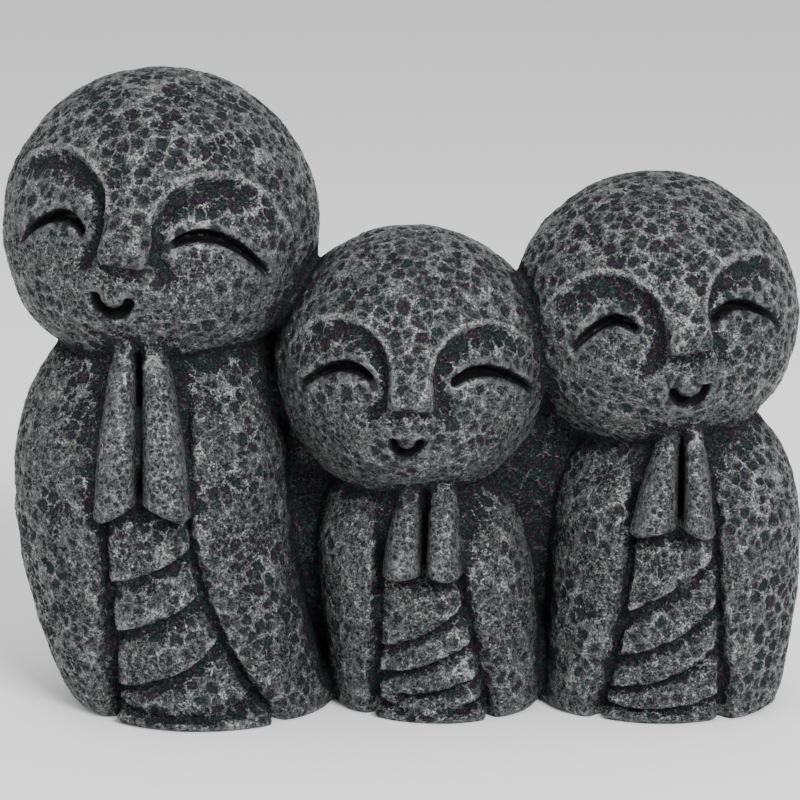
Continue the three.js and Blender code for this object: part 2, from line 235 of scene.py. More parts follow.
# Hands.
palm = dict(
    gap=0.95, front=4.75, back=8, reach=0.3, lean=0.16, sides=56, rows=90,
    shares=[0, 0.06, 0.2, 0.45, 0.7, 1], bulges=[0.8, 0.98, 1, 1.06, 1.06, 1],
    depths=[0.72, 0.96, 1, 0.92, 0.8, 0.6], squareness=0.8,
)


# One hand: a tapered leaf beside the middle line, its heel cut at a slant and its back set into the chest.
def hand(f, side):
    share = np.linspace(0, 1, palm["rows"])[:, None]
    angle = np.linspace(0, 2 * np.pi, palm["sides"], endpoint=False)[None, :]
    width, tip = f["handWidths"][side > 0], f["handTips"][side > 0]
    half = (width + (tip - width) * share) / 2 * curveThrough(palm["shares"], palm["bulges"], share)
    deepest = palm["front"] * curveThrough(palm["shares"], palm["depths"], share)
    top = f["chinHeight"] + f["headRadius"] * palm["reach"]
    across = np.sign(np.cos(angle)) * np.abs(np.cos(angle)) ** palm["squareness"]
    x = side * (palm["gap"] / 2 + half) + half * across
    outward = np.where(np.sin(angle) < 0, deepest, palm["back"]) * np.sin(angle)
    y = -f["bodyDepth"] / 2 - robe["bellyRecess"] + f["bodyDepth"] * palm["lean"] * share + outward
    z = f["handFoot"] + (top - f["handFoot"]) * share
    z = z + f["handSlant"] * (1 - share) ** 2 * (0.5 - np.abs(x) / width)
    turn = math.radians(f["turn"])
    rings = np.stack([x * math.cos(turn) - y * math.sin(turn) + f["handX"],
                      x * math.sin(turn) + y * math.cos(turn) + f["standY"], z + 0 * x], -1)
    return shell(rings)


# Heads.
face = dict(
    browLine=[
        (18, -16.5), (13, -12), (9.6, -6), (8.4, 0), (9, 10), (12.2, 18.2), (20.8, 25.2), (34.6, 27.8),
        (48.9, 23.4), (59.2, 14.7), (64, 5), (58, -12), (35, -20),
    ],
    browPush=(0.066, 0.057, -0.118), browEdge=(-0.2, 1.0), browStep=(0.3, 1.6),
    browRim=0.35, browRimAt=(-0.7, 0.9),
    noseSide=1.1, sideStart=(-0.4, 0.8), sideEnd=(1.4, 4.5), sideReach=30, sideFoot=(-15, -7), sideTop=(14, 24),
    eyeMiddle=34.5,  # the longitude about which an eye is stretched
    eyeEdges=[[(15.5, 6.4), (24.8, 15.4), (37.5, 12.9), (53.5, -1.4)],
              [(52.8, -2.8), (37.3, 8.7), (25, 11), (16, 4)]],
    mouthEdges=[[(-8.2, -19.8), (-8.6, -31.8), (8.6, -31.8), (8.2, -19.8)],
                [(5.6, -19.6), (5.4, -26.5), (-5.4, -26.5), (-5.6, -19.6)]],
    slotDepth=3.4, slotEdge=(-0.3, 0.3), slotRim=0.4, slotRimAt=(-1.0, 0.45),
    noseHeight=3.3, noseWidth=9.4, noseReach=40, noseShoulder=(0.6, 1.08),
    noseLengths=[0, 1.4, 4.2, 9.8, 19.8, 31.8],
    noseRises=[0, 0.8, 1, 0.78, 0.34, 0], noseSpreads=[0.9, 0.95, 1, 0.86, 0.66, 0.5],
    eyeLine=([8, 13, 17, 32, 53, 64], [-14, -8, 6, 11, -1, -8]),  # the sockets are darker above it
    pressStart=0.45, edgeSteps=18, browSteps=5, outlineMargin=0.12, farOutside=-9.0,
)


# A ball's points, one unit out, and its faces. All three heads start from it.
def unitBall(steps):
    made = bmesh.new()
    bmesh.ops.create_icosphere(made, subdivisions=steps, radius=1)
    mesh = bpy.data.meshes.new("ball")
    made.to_mesh(mesh)
    made.free()
    points = np.empty(len(mesh.vertices) * 3, np.float32)
    mesh.vertices.foreach_get("co", points)
    corners = np.empty(len(mesh.loops), np.int32)
    mesh.loops.foreach_get("vertex_index", corners)
    bpy.data.meshes.remove(mesh)
    return points.reshape(-1, 3).astype(float), corners.reshape(-1, 3)


def headPose(f):
    turn, nod, tilt = [math.radians(f[key]) for key in ("headTurn", "headNod", "headTilt")]
    return Matrix.Rotation(turn, 3, "Z") @ Matrix.Rotation(nod, 3, "X") @ Matrix.Rotation(tilt, 3, "Y")


def headCentre(f):
    return np.array([f["headX"], f["headY"], f["chinHeight"] + f["headRadius"] * f["chinShare"]])


# The direction of points of the face given by longitude and latitude.
def direction(points):
    a, b = np.radians(np.asarray(points, float)).T
    return np.stack([np.cos(b) * np.sin(a), -np.cos(b) * np.cos(a), np.sin(b)], -1)


# How far directions lie inside an outline drawn on the face, in millimetres. Far off, all count as outside.
def insideOutline(directions, outline, radius):
    corners = direction(outline)
    middle = corners.sum(0) / np.linalg.norm(corners.sum(0))
    across = np.cross((0, 0, 1), middle)
    across /= np.linalg.norm(across)
    plane = np.stack([across, np.cross(middle, across)], -1) * radius
    near = directions @ middle > (corners @ middle).min() - face["outlineMargin"]
    depth = np.full(len(directions), face["farOutside"])
    depth[near] = depthInside(directions[near] @ plane, corners @ plane)
    return depth


# A slot's outline, each edge bowed from its ends towards the two points between them.
def slotLine(edges):
    t = np.linspace(0, 1, face["edgeSteps"] + 1)[:, None]
    weights = ((1 - t) ** 3, 3 * (1 - t) ** 2 * t, 3 * (1 - t) * t * t, t ** 3)
    return np.concatenate([sum(w * np.array(p, float) for w, p in zip(weights, edge)) for edge in edges])


# The face's own lines on a head, as depths inside each: the sockets, the eyes and the mouth.
def faceLines(f, directions):
    radius = f["headRadius"]
    brow = closedCurve(face["browLine"], face["browSteps"])
    sockets = [insideOutline(directions, brow * (side, 1), radius) for side in (-1, 1)]
    eyes = []
    for side, lift, shift, reach in zip((-1, 1), f["eyeLifts"], f["eyeShifts"], f["eyeReaches"]):
        longitude, latitude = slotLine(face["eyeEdges"]).T
        longitude = side * (face["eyeMiddle"] + (longitude - face["eyeMiddle"]) * reach + shift)
        eyes.append(insideOutline(directions, np.stack([longitude, latitude + lift], -1), radius))
    mouthLine = slotLine(face["mouthEdges"]) * (f["mouthReach"], 1) + (f["mouthTurn"], 0)
    return sockets, eyes, insideOutline(directions, mouthLine, radius)


def head(f, directions, faces):
    radius = f["headRadius"]
    longitude = np.degrees(np.arctan2(directions[:, 0], -directions[:, 1]))
    latitude = np.degrees(np.arcsin(np.clip(directions[:, 2], -1, 1)))
    sockets, eyes, mouth = faceLines(f, directions)
    out = np.full(len(directions), float(radius))

    # the sockets, down to a ball pushed out, back and down
    for side, inside in zip((-1, 1), sockets):
        push = np.array(face["browPush"]) * (side, 1, 1) * radius
        toward = directions @ push
        floor = toward + np.sqrt(toward ** 2 - push @ push + radius ** 2)
        carved = np.maximum(radius - floor, 0)
        step = smoothStep(*face["browStep"], carved)
        out -= carved * smoothStep(*face["browEdge"], inside)
        out += face["browRim"] * bell(inside, *face["browRimAt"]) * step
        beside = smoothStep(*face["sideStart"], inside) * (1 - smoothStep(*face["sideEnd"], inside))
        beside *= smoothStep(*face["sideFoot"], latitude) * (1 - smoothStep(*face["sideTop"], latitude))
        beside *= np.abs(longitude) < face["sideReach"]
        out -= face["noseSide"] * beside

    # the nose, flush with the forehead at its root
    overFoot = latitude - f["noseFoot"]
    rise = curveThrough(face["noseLengths"], face["noseRises"], overFoot)
    half = face["noseWidth"] / 2 * curveThrough(face["noseLengths"], face["noseSpreads"], overFoot)
    across = np.abs(radius * np.cos(np.radians(latitude)) * np.sin(np.radians(longitude))) / half
    nose = face["noseHeight"] * rise * (1 - smoothStep(*face["noseShoulder"], across))
    out += nose * (np.abs(longitude) < face["noseReach"])

    # the eyes and the mouth, each with a thin raised edge
    for inside in [*eyes, mouth]:
        out -= face["slotDepth"] * smoothStep(*face["slotEdge"], inside)
        out += face["slotRim"] * bell(inside, *face["slotRimAt"])

    points = directions * out[:, None]
    pose = np.array(headPose(f))
    down = np.array([0, 0, -1]) @ pose
    depth = points @ down
    pressed = depth * (f["chinShare"] - 1) * smoothStep(face["pressStart"], 1, depth / radius)
    points = points + pressed[:, None] * down
    return points @ pose.T + headCentre(f), [faces]


# The fill between the bodies.
fill = dict(fronts=(-6.8, -8), back=8.5, rises=[0, 0.84, 0.95, 1], thins=[1, 1, 0.8, 0.4], reach=0.8)


def web(a, b, front):
    rings = []
    for rise, thin in zip(fill["rises"], fill["thins"]):
        tops = [rise * (f["chinHeight"] + f["headRadius"] * fill["reach"]) for f in (a, b)]
        ends = [axisX(f, top) for f, top in zip((a, b), tops)]
        middle, half = (front + fill["back"]) / 2, (fill["back"] - front) / 2 * thin
        corners = [(0, -1), (0.5, -1), (1, -1), (1, 1), (0.5, 1), (0, 1)]
        rings.append([(ends[0] + (ends[1] - ends[0]) * share, middle + half * way,
                       tops[0] + (tops[1] - tops[0]) * share) for share, way in corners])
    return shell(np.array(rings))


# One block.
block = dict(
    ballSteps=8, quickBallSteps=7, voxel=0.38, looseVoxel=0.7, smoothing=2,
    triangles=196000, quickTriangles=90000,
)


def joinShells(name, shells):
    points, loops, sizes, start = [], [], [], 0
    for co, parts in shells:
        points.append(co)
        for part in parts:
            loops.append((np.asarray(part) + start).reshape(-1))
            sizes.append(np.full(len(part), part.shape[1]))
        start += len(co)
    co = (np.concatenate(points) - np.array(rowMiddle)) * mm
    corners, sizes = np.concatenate(loops), np.concatenate(sizes)
    mesh = bpy.data.meshes.new(name)
    mesh.vertices.add(len(co))
    mesh.vertices.foreach_set("co", co.astype(np.float32).reshape(-1))
    mesh.loops.add(len(corners))
    mesh.loops.foreach_set("vertex_index", corners.astype(np.int32))
    mesh.polygons.add(len(sizes))
    mesh.polygons.foreach_set("loop_start", np.concatenate([[0], np.cumsum(sizes)[:-1]]).astype(np.int32))
    mesh.update(calc_edges=True)
    mesh.validate()
    made = bpy.data.objects.new(name, mesh)
    bpy.context.scene.collection.objects.link(made)
    return made


def applyModifiers(piece):
    settled = piece.evaluated_get(bpy.context.evaluated_depsgraph_get())
    mesh = bpy.data.meshes.new_from_object(settled)
    piece.modifiers.clear()
    old, piece.data = piece.data, mesh
    bpy.data.meshes.remove(old)


def readPoints(mesh, kind="co"):
    values = np.empty(len(mesh.vertices) * 3, np.float32)
    if kind == "co":
        mesh.vertices.foreach_get("co", values)
    else:
        mesh.vertex_normals.foreach_get("vector", values)
    return values.reshape(-1, 3).astype(float)


def writePoints(mesh, points):
    mesh.vertices.foreach_set("co", points.astype(np.float32).reshape(-1))
    mesh.update()


# Values averaged with their neighbours' along the mesh, a number of times.
def relax(mesh, values, rounds, share=0.5):
    ends = np.empty(len(mesh.edges) * 2, np.int32)
    mesh.edges.foreach_get("vertices", ends)
    a, b = ends.reshape(-1, 2).T
    count = len(mesh.vertices)
    near = np.maximum(np.bincount(a, minlength=count) + np.bincount(b, minlength=count), 1)
    flat = values.reshape(count, -1).copy()
    for _ in range(rounds):
        for k in range(flat.shape[1]):
            column = flat[:, k]
            total = np.bincount(a, column[b], count) + np.bincount(b, column[a], count)
            flat[:, k] = column + share * (total / near - column)
    return flat.reshape(values.shape)


ballPoints, ballFaces = unitBall(block["ballSteps"])
shells = [web(leftFigure, centreFigure, fill["fronts"][0]), web(centreFigure, rightFigure, fill["fronts"][1])]
for figure in figures:
    shells += [body(figure), hand(figure, 1), hand(figure, -1), head(figure, ballPoints, ballFaces)]
trio = joinShells("jizo_trio_cast", shells)
print("shapes made")

remesh = trio.modifiers.new("one block", "REMESH")
remesh.mode = "VOXEL"
remesh.voxel_size = block["voxel"] * mm
applyModifiers(trio)
writePoints(trio.data, relax(trio.data, readPoints(trio.data), block["smoothing"]))
print("one block:", len(trio.data.vertices), "points")

# Hammered surface.
pits = dict(
    sizes=(2.4, 1.15), ridgeWidths=(1.15, 0.9), patchSize=7, patchEdge=(0.4, 0.62), coarsePull=0.4,
    warpSize=1.3, warpGrain=(4, 0.72), warp=1.4, heart=0.55, rounding=0.22,
    depth=0.36, floorShare=0.32, lumpSize=8, lumpDepth=0.7,
)


def addNode(tree, kind, **settings):
    node = tree.nodes.new(kind)
    for name, value in settings.items():
        setattr(node, name, value)
    return node


def mathNode(tree, operation, *values, clamp=False):
    node = addNode(tree, "ShaderNodeMath", operation=operation, use_clamp=clamp)
    for socket, value in zip(node.inputs, values):
        if isinstance(value, bpy.types.NodeSocket):
            tree.links.new(value, socket)
        else:
            socket.default_value = value
    return node.outputs[0]


def noiseNode(tree, vector, size, detail=2, roughness=0.5):
    node = addNode(tree, "ShaderNodeTexNoise")
    node.inputs["Scale"].default_value = 1 / (size * mm)
    node.inputs["Detail"].default_value = detail
    node.inputs["Roughness"].default_value = roughness
    tree.links.new(vector, node.inputs["Vector"])
    return node


def mixValues(tree, factor, first, second):
    node = addNode(tree, "ShaderNodeMix", data_type="FLOAT")
    for socket, value in zip(node.inputs[:1] + node.inputs[2:4], (factor, first, second)):
        if isinstance(value, bpy.types.NodeSocket):
            tree.links.new(value, socket)
        else:
            socket.default_value = value
    return node.outputs[0]


# The net of ridges between the pits, the same for the mesh and for its paint: 0 on a ridge, rising to the
# middles of the pits. Where it is coarse, the larger pits take more of the surface.
def ridgeDistance(tree, vector, coarse):
    wander = noiseNode(tree, vector, pits["warpSize"], *pits["warpGrain"])
    centred = addNode(tree, "ShaderNodeVectorMath", operation="SUBTRACT")
    centred.inputs[1].default_value = (0.5, 0.5, 0.5)
    moved = addNode(tree, "ShaderNodeVectorMath", operation="MULTIPLY_ADD")
    moved.inputs[1].default_value = (2 * pits["warp"] * mm,) * 3
    tree.links.new(wander.outputs["Color"], centred.inputs[0])
    tree.links.new(centred.outputs[0], moved.inputs[0])
    tree.links.new(vector, moved.inputs[2])
    fields = []
    for size, width in zip(pits["sizes"], pits["ridgeWidths"]):
        cells = addNode(tree, "ShaderNodeTexVoronoi", feature="DISTANCE_TO_EDGE")
        hearts = addNode(tree, "ShaderNodeTexVoronoi", feature="F1")
        for node in (cells, hearts):
            node.inputs["Scale"].default_value = 1 / (size * mm)
            tree.links.new(moved.outputs[0], node.inputs["Vector"])
        rounder = mathNode(tree, "SUBTRACT", pits["heart"], hearts.outputs["Distance"])
        field = mathNode(tree, "MULTIPLY_ADD", rounder, pits["rounding"], cells.outputs["Distance"])
        fields.append(mathNode(tree, "MULTIPLY", field, width))
    patches = noiseNode(tree, vector, pits["patchSize"]).outputs[0]
    patches = mathNode(tree, "ADD", patches, pits["coarsePull"] / 2)
    patches = mathNode(tree, "MULTIPLY_ADD", coarse, -pits["coarsePull"], patches)
    chosen = addNode(tree, "ShaderNodeMapRange", interpolation_type="SMOOTHSTEP")
    chosen.inputs["From Min"].default_value, chosen.inputs["From Max"].default_value = pits["patchEdge"]
    tree.links.new(patches, chosen.inputs["Value"])
    return mixValues(tree, chosen.outputs[0], *fields)


def hammerTree():
    tree = bpy.data.node_groups.new("hammered", "GeometryNodeTree")
    tree.interface.new_socket("Geometry", in_out="INPUT", socket_type="NodeSocketGeometry")
    tree.interface.new_socket("Geometry", in_out="OUTPUT", socket_type="NodeSocketGeometry")
    given, made = addNode(tree, "NodeGroupInput"), addNode(tree, "NodeGroupOutput")
    place, normal = addNode(tree, "GeometryNodeInputPosition"), addNode(tree, "GeometryNodeInputNormal")
    keep, coarse = [addNode(tree, "GeometryNodeInputNamedAttribute", data_type="FLOAT") for _ in range(2)]
    keep.inputs["Name"].default_value, coarse.inputs["Name"].default_value = "pitted", "coarse"
    distance = ridgeDistance(tree, place.outputs[0], coarse.outputs["Attribute"])
    floor = mathNode(tree, "DIVIDE", distance, pits["floorShare"], clamp=True)
    hollow = mathNode(tree, "MULTIPLY", floor, -pits["depth"] * mm)
    swell = mathNode(tree, "SUBTRACT", noiseNode(tree, place.outputs[0], pits["lumpSize"]).outputs[0], 0.5)
    height = mathNode(tree, "MULTIPLY_ADD", swell, 2 * pits["lumpDepth"] * mm, hollow)
    scaled = mathNode(tree, "MULTIPLY", height, keep.outputs["Attribute"])
    offset = addNode(tree, "ShaderNodeVectorMath", operation="SCALE")
    shift = addNode(tree, "GeometryNodeSetPosition")
    tree.links.new(normal.outputs[0], offset.inputs[0])
    tree.links.new(scaled, offset.inputs["Scale"])
    tree.links.new(given.outputs[0], shift.inputs["Geometry"])
    tree.links.new(offset.outputs[0], shift.inputs["Offset"])
    tree.links.new(shift.outputs[0], made.inputs[0])
    return tree


def storeValue(mesh, name, values):
    held = mesh.attributes.get(name) or mesh.attributes.new(name, "FLOAT", "POINT")
    held.data.foreach_set("value", values.astype(np.float32))


# Where each part of the surface fades in or out, in degrees over a head or in millimetres inside a line of it.
zones = dict(
    underSkin=0.8, overSkin=3.5, crown=(34, 58), socket=(-0.3, 1.0), overEye=(-2, 2),
    brow=(-0.6, 0.8), browFoot=(-4, 12), browEnd=(60, 85),
    slots=(-0.5, 0), rims=(-0.95, 0.45), calm=(-2.2, -0.9), cheekTop=(-4, 10), cheekEnd=(45, 85),
    noseWidth=9, noseStart=(0.6, 1.6), noseTop=(6, 22), noseFootWidth=10, noseFoot=(-1.6, 1.7),
    handReach=0.2, handStart=(-2.2, -0.6), handTop=1, handSide=1.6, handFront=(0.6, 1.8),
)


def headParts(f, place, parts):
    radius = f["headRadius"]
    local = (place - headCentre(f)) @ np.array(headPose(f))
    distance = np.linalg.norm(local, axis=1)
    onHead = (distance < radius + zones["overSkin"]) & (distance > radius * zones["underSkin"])
    onHead = np.flatnonzero(onHead)
    directions = local[onHead] / distance[onHead, None]
    longitude = np.degrees(np.arctan2(directions[:, 0], -directions[:, 1]))
    latitude = np.degrees(np.arcsin(np.clip(directions[:, 2], -1, 1)))
    aside, overFoot = np.abs(longitude), latitude - f["noseFoot"]
    sockets, eyes, mouth = faceLines(f, directions)
    inSocket = np.maximum(*sockets)
    slot = np.maximum(np.maximum(*eyes), mouth)
    eyeLine = np.interp(aside, *face["eyeLine"]) + np.where(longitude > 0, *f["eyeLifts"][::-1])
    besideBrow = smoothStep(*zones["browFoot"], latitude) * (1 - smoothStep(*zones["browEnd"], aside))
    parts["head"][onHead] = 1
    parts["centreHead"][onHead] = f is centreFigure
    parts["crown"][onHead] = smoothStep(*zones["crown"], latitude)
    parts["socket"][onHead] = smoothStep(*zones["socket"], inSocket)
    parts["socket"][onHead] *= smoothStep(*zones["overEye"], latitude - eyeLine)
    parts["brow"][onHead] = bell(inSocket, *zones["brow"]) * besideBrow
    parts["slots"][onHead] = smoothStep(*zones["slots"], slot)
    parts["rims"][onHead] = bell(slot, *zones["rims"])
    parts["calm"][onHead] = smoothStep(*zones["calm"], slot)
    parts["cheeks"][onHead] = 1 - smoothStep(*zones["cheekTop"], latitude)
    parts["cheeks"][onHead] *= 1 - smoothStep(*zones["cheekEnd"], aside)
    parts["nose"][onHead] = bell(longitude, 0, zones["noseWidth"])
    parts["nose"][onHead] *= 1 - smoothStep(*zones["noseTop"], overFoot)
    parts["nose"][onHead] *= smoothStep(*zones["noseStart"], overFoot)
    parts["noseFoot"][onHead] = bell(longitude, 0, zones["noseFootWidth"])
    parts["noseFoot"][onHead] *= bell(overFoot, *zones["noseFoot"])


def handPart(f, place):
    turn = math.radians(f["turn"])
    offX, offY = place[:, 0] - f["handX"], place[:, 1] - f["standY"]
    across = np.abs(offX * math.cos(turn) + offY * math.sin(turn))
    ahead = -(offY * math.cos(turn) - offX * math.sin(turn)) - f["bodyDepth"] / 2
    top = f["chinHeight"] + f["headRadius"] * zones["handReach"]
    overHeel = place[:, 2] - f["handFoot"]
    rising = smoothStep(*zones["handStart"], overHeel)
    rising *= 1 - smoothStep(top - zones["handTop"], top, place[:, 2])
    widest = max(f["handWidths"])
    lean = f["bodyDepth"] * palm["lean"] * overHeel / (top - f["handFoot"])
    front = smoothStep(*zones["handFront"], ahead + np.maximum(lean, 0))
    return (1 - smoothStep(widest, widest + zones["handSide"], across)) * rising * front


# The parts of the surface, each a value from 0 to 1 for every point.
def surfaceParts(mesh):
    place = readPoints(mesh) / mm + np.array(rowMiddle)
    names = ("hands", "head", "centreHead", "crown", "cheeks", "socket", "brow", "nose", "noseFoot", "slots",
             "rims", "calm")
    parts = {name: np.zeros(len(place)) for name in names}
    for f in figures:
        headParts(f, place, parts)
        parts["hands"] = np.maximum(parts["hands"], handPart(f, place) * (1 - parts["head"]))
    return place, parts


def flattenFoot(mesh):
    points = readPoints(mesh)
    points[:, 2] = np.maximum(points[:, 2], 0)
    writePoints(mesh, points)


# how much shallower the pits are on each part, and how coarse, which is most on the outer right sleeve
shallower = dict(hands=0.75, socket=0.5, calm=1, nose=0.6)
coarser = dict(head=0.34, cheeks=-0.3, hands=-0.48)
spread = dict(footFade=(0.6, 1.2), coarse=0.48, sleeve=0.4, sleeveAt=(58, 66), rounds=20)

place, parts = surfaceParts(trio.data)
pitted = 1
for name, share in shallower.items():
    pitted = pitted * (1 - share * parts[name])
storeValue(trio.data, "pitted", pitted * smoothStep(*spread["footFade"], place[:, 2]))
coarse = spread["coarse"]
for name, share in coarser.items():
    coarse = coarse + share * parts[name]
coarse += spread["sleeve"] * smoothStep(*spread["sleeveAt"], place[:, 0]) * (1 - parts["head"])
storeValue(trio.data, "coarse", relax(trio.data, np.clip(coarse, 0, 1), spread["rounds"]))
trio.modifiers.new("hammered", "NODES").node_group = hammerTree()
applyModifiers(trio)
flattenFoot(trio.data)
thin = trio.modifiers.new("fewer faces", "DECIMATE")
wanted = block["triangles"]
thin.ratio = min(wanted / (2 * len(trio.data.polygons)), 1)
thin.use_collapse_triangulate = True
applyModifiers(trio)
flattenFoot(trio.data)
trio.data.shade_smooth()
print("hammered surface:", len(trio.data.polygons), "faces")


# Where the silver paint lies; painted shade thins it in deep gaps and below the heads, where the brush also
# reached less.
brush = dict(
    plain=0.44, edgeGain=0.35, edgeHeight=0.5, grooveGain=0.35, socketGroove=0.6,
    fineGain=0.6, fineHeight=0.14, shade=(0.18, 0.6),
    fromAbove=0.8, rayStart=0.25, rayReach=26, facing=0.15, rays=30, quickRays=10,
    edgeRise=(0.3, 0.75), edgeCalm=0.85, edgeFoot=(4, 9), bodyEdge=0.7, edgeOpen=(0.3, 0.6),
    rimLine=0.32, browLine=0.6, handCalm=0.45,
    nearRounds=5, middleRounds=12, farRounds=50, edgeRounds=25, openRounds=4, silverRounds=2,
)
# the sockets, the foot of each nose and the slots lose silver partly as the brush missed them, partly as
# painted shade
silverGains = dict(
    hands=0.45, cheeks=0.25, brow=0.45, nose=0.4, noseFoot=-0.9, crown=-0.16, socket=-0.12, rims=0.35,
    slots=-1.5, centreHead=0.07,
)


# Directions spread evenly over a sphere.
def evenDirections(count):
    k = np.arange(count) + 0.5
    height = 1 - 2 * k / count
    spin = k * math.pi * (1 + math.sqrt(5))
    ring = np.sqrt(1 - height ** 2)
    return np.stack([ring * np.cos(spin), ring * np.sin(spin), height], -1)


# How open each point is to its surroundings, from 0 in a deep gap to 1 in the open.
def openness(mesh, points, normals):
    corners = np.empty(len(mesh.loops), np.int32)
    mesh.loops.foreach_get("vertex_index", corners)
    tree = BVHTree.FromPolygons([Vector(p) for p in points], corners.reshape(-1, 3).tolist())
    ways = evenDirections(brush["rays"])
    # rays from above weigh more, so the painted shade is deeper below the heads
    facing = np.maximum(normals @ ways.T, 0) * (1 + brush["fromAbove"] * np.maximum(ways[:, 2], 0))
    reach = brush["rayReach"] * mm
    starts = points + normals * brush["rayStart"] * mm
    wayVectors = [Vector(way) for way in ways]
    free, total = np.zeros(len(points)), np.zeros(len(points))
    for k, way in enumerate(wayVectors):
        weight = facing[:, k]
        chosen = np.flatnonzero(weight > brush["facing"])
        hit = np.array([tree.ray_cast(Vector(starts[i]), way, reach)[3] or reach for i in chosen])
        free[chosen] += weight[chosen] * hit / reach
        total[chosen] += weight[chosen]
    return free / np.maximum(total, 1e-6)


place, parts = surfaceParts(trio.data)
points, normals = readPoints(trio.data), readPoints(trio.data, "normal")
near = relax(trio.data, points, brush["nearRounds"])
middle = relax(trio.data, near, brush["middleRounds"])
far = relax(trio.data, middle, brush["farRounds"])
relief = ((near - far) * normals).sum(1) / mm
fineRelief = ((near - middle) * normals).sum(1) / mm
# the slots count as fully shut in, so they take the full painted shade
isOpen = relax(trio.data, openness(trio.data, points, normals), brush["openRounds"]) * (1 - parts["slots"])
silver = np.full(len(points), float(brush["plain"]))
for name, gain in silverGains.items():
    silver += gain * parts[name]
silver += brush["edgeGain"] * np.clip(relief / brush["edgeHeight"], 0, 1)
groove = brush["grooveGain"] * np.clip(relief / brush["edgeHeight"], -1, 0)
silver += groove * (1 - brush["socketGroove"] * parts["socket"])
silver += brush["fineGain"] * np.clip(fineRelief / brush["fineHeight"], -1, 1)
# partly the brush reaching less, partly painted shade: less silver where the surface is shut in
silver -= 1 - smoothStep(*brush["shade"], isOpen)
storeValue(trio.data, "silver", relax(trio.data, np.clip(silver, 0, 1), brush["silverRounds"]))
storeValue(trio.data, "openness", isOpen)

# thin light lines along the carving's edges, the brows and the slots' rims, faded out by painted shade in deep
# gaps
blurred = relax(trio.data, near, brush["edgeRounds"])
edge = smoothStep(*brush["edgeRise"], ((near - blurred) * normals).sum(1) / mm)
edge *= (1 - parts["nose"]) * (1 - parts["hands"]) * (1 - brush["edgeCalm"] * parts["calm"])
edge *= smoothStep(*brush["edgeFoot"], place[:, 2])
edge *= brush["bodyEdge"] + (1 - brush["bodyEdge"]) * parts["head"]
edge = np.maximum(edge, brush["rimLine"] * parts["rims"])
edge = np.maximum(edge, brush["browLine"] * parts["brow"])
storeValue(trio.data, "edge", edge * smoothStep(*brush["edgeOpen"], isOpen))
storeValue(trio.data, "calm", np.maximum(parts["calm"], brush["handCalm"] * parts["hands"]))
print("paint laid out")


# Materials.
# the darkest colour here is painted shade, laid in the deep gaps, in the slots and over shut-in silver
paint = dict(
    silver=(0.092, 0.098, 0.097, 1), worn=(0.048, 0.052, 0.052, 1), bright=(0.185, 0.192, 0.19, 1),
    dust=(0.022, 0.025, 0.025, 1), base=(0.005, 0.006, 0.0065, 1), green=(0.003, 0.015, 0.012, 1),
    plum=(0.016, 0.005, 0.016, 1), shadeBlack=(0.0015, 0.0015, 0.0015, 1),
    bump=0.3, grainHeight=0.2, roughness=(0.75, 0.38), metallic=(0, 0.5), specular=0.15,
)
# noises over the paint: the size of each in millimetres, its detail and its roughness
noises = dict(
    speck=(0.42, 4, 0.7), patch=(2.6, 3, 0.6), drift=(15, 2, 0.5), tint=(1.6, 3, 0.7), dots=(0.38, 2, 0.7),
)
# how the cover becomes lines of silver along the net, and the width and softness of those lines
lines = dict(
    speck=1.1, patch=0.5, drift=0.4, start=(0, 0.3), power=1.2, width=0.3, offset=-0.04,
    under=0.035, over=0.03, crest=(-0.07, -0.01), crestCover=(0.1, 0.5), edgeSpeck=0.9, edge=(0.35, 0.6),
)
# where one colour gives way to the next, along a noise, the grain or the openness
blends = dict(
    green=(0.5, 0.6), plum=(0.5, 0.4), dust=(0.5, 0.38), shadeBlack=(0.1, 0.5), worn=(0.36, 0.64),
    shade=(0.25, 0.75), shadeShare=0.6, dots=(0.3, 0.7), dotLevels=(0.28, 1.88),
)


def mixColours(tree, factor, first, second, blend="MIX"):
    node = addNode(tree, "ShaderNodeMix", data_type="RGBA", blend_type=blend)
    for socket, value in ((node.inputs[0], factor), (node.inputs[6], first), (node.inputs[7], second)):
        if isinstance(value, bpy.types.NodeSocket):
            tree.links.new(value, socket)
        else:
            socket.default_value = value
    return node.outputs[2]


def rampNode(tree, value, low, high, toLow=0, toHigh=1):
    node = addNode(tree, "ShaderNodeMapRange", interpolation_type="SMOOTHSTEP")
    names = ("Value", "From Min", "From Max", "To Min", "To Max")
    for name, setting in zip(names, (value, low, high, toLow, toHigh)):
        if isinstance(setting, bpy.types.NodeSocket):
            tree.links.new(setting, node.inputs[name])
        else:
            node.inputs[name].default_value = setting
    return node.outputs[0]


def noiseOver(tree, vector, name):
    return noiseNode(tree, vector, *noises[name]).outputs[0]


# A value pushed up and down by a noise about its middle.
def swayed(tree, value, noise, gain):
    return mathNode(tree, "MULTIPLY_ADD", mathNode(tree, "SUBTRACT", noise, 0.5), gain, value)


